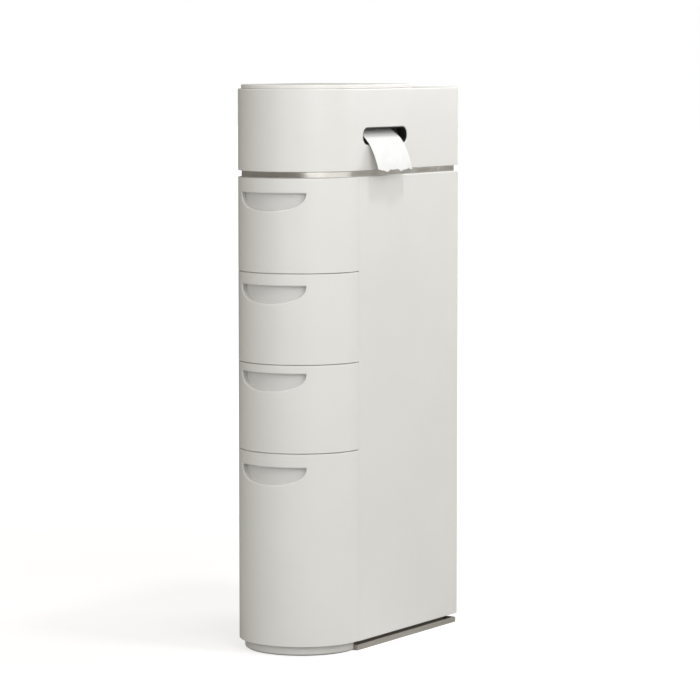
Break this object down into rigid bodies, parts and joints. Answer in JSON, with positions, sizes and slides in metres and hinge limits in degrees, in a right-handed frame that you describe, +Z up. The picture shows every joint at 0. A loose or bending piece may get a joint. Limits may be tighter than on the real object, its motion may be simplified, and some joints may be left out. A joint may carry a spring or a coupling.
{
  "type": "bathroom storage tower",
  "caption": "Slim free-standing tower of drawers with half-round fronts under a lidded box that feeds paper out of a side slot.",
  "frame": {"origin": "on the floor, at the middle of the tower's 200 by 420 mm footprint", "axes": "+Z up, -Y out of the round drawer fronts, +X out of the side with the paper slot"},
  "size_m": [0.2199, 0.42, 0.8945],
  "materials": {
    "gloss_white": "glossy moulded plastic, warm off-white",
    "satin_white": "satin moulded plastic, off-white",
    "recess_grey": "fine satin grain, light grey",
    "plinth_grey": "matt grey-beige plastic",
    "rail_grey": "slippery satin plastic, light grey",
    "bright_trim": "bright silver plating on plastic",
    "sleeve_black": "matt black plastic",
    "screw_steel": "zinc-plated steel",
    "card": "plain wound card",
    "tissue": "soft white tissue paper"
  },
  "bodies": {
    "carcass": {"base_plinth": "plinth_grey", "toe_skirt": "satin_white", "base_screws": "screw_steel", "left_side_panel": "gloss_white", "right_side_panel": "gloss_white", "back_panel": "satin_white", "back_screws": "screw_steel", "base_shelf": "satin_white", "shelf_1": "satin_white", "shelf_2": "satin_white", "shelf_3": "satin_white", "top_deck": "satin_white", "trim_band": "bright_trim", "top_box": "gloss_white", "box_screws": "screw_steel", "box_partition": "satin_white", "slot_sleeve": "sleeve_black", "front_roll_bracket": "satin_white", "rear_roll_bracket": "satin_white", "bracket_screws": "screw_steel", "loose_paper": "tissue", "hinge_pins": "screw_steel", "left_rail_1": "rail_grey", "right_rail_1": "rail_grey", "left_rail_2": "rail_grey", "right_rail_2": "rail_grey", "left_rail_3": "rail_grey", "right_rail_3": "rail_grey", "left_rail_4": "rail_grey", "right_rail_4": "rail_grey"},
    "drawer_1": {"drawer_1_front": "gloss_white", "drawer_1_finger_cup": "recess_grey", "drawer_1_tray": "satin_white", "drawer_1_glide_shoes": "rail_grey", "drawer_1_screws": "screw_steel"},
    "drawer_2": {"drawer_2_front": "gloss_white", "drawer_2_finger_cup": "recess_grey", "drawer_2_tray": "satin_white", "drawer_2_glide_shoes": "rail_grey", "drawer_2_screws": "screw_steel"},
    "drawer_3": {"drawer_3_front": "gloss_white", "drawer_3_finger_cup": "recess_grey", "drawer_3_tray": "satin_white", "drawer_3_glide_shoes": "rail_grey", "drawer_3_screws": "screw_steel"},
    "drawer_4": {"drawer_4_front": "gloss_white", "drawer_4_finger_cup": "recess_grey", "drawer_4_tray": "satin_white", "drawer_4_glide_shoes": "rail_grey", "drawer_4_screws": "screw_steel"},
    "roll": {"roll_spindle": "rail_grey", "roll_core": "card", "paper_roll": "tissue"},
    "lid": {"lid": "gloss_white"}
  },
  "joints": [
    {"name": "drawer_1_slide", "type": "slide", "parent": "carcass", "child": "drawer_1", "axis": [0, -1, 0], "range_m": [0, 0.25]},
    {"name": "drawer_2_slide", "type": "slide", "parent": "carcass", "child": "drawer_2", "axis": [0, -1, 0], "range_m": [0, 0.25]},
    {"name": "drawer_3_slide", "type": "slide", "parent": "carcass", "child": "drawer_3", "axis": [0, -1, 0], "range_m": [0, 0.25]},
    {"name": "drawer_4_slide", "type": "slide", "parent": "carcass", "child": "drawer_4", "axis": [0, -1, 0], "range_m": [0, 0.25]},
    {"name": "lid_hinge", "type": "hinge", "parent": "carcass", "child": "lid", "pos_m": [0, 0.067, 0.8915], "axis": [-1, 0, 0], "range_deg": [0, 100]},
    {"name": "roll_spin", "type": "hinge", "parent": "carcass", "child": "roll", "pos_m": [0, -0.02, 0.817], "axis": [0, 1, 0], "continuous": true}
  ]
}
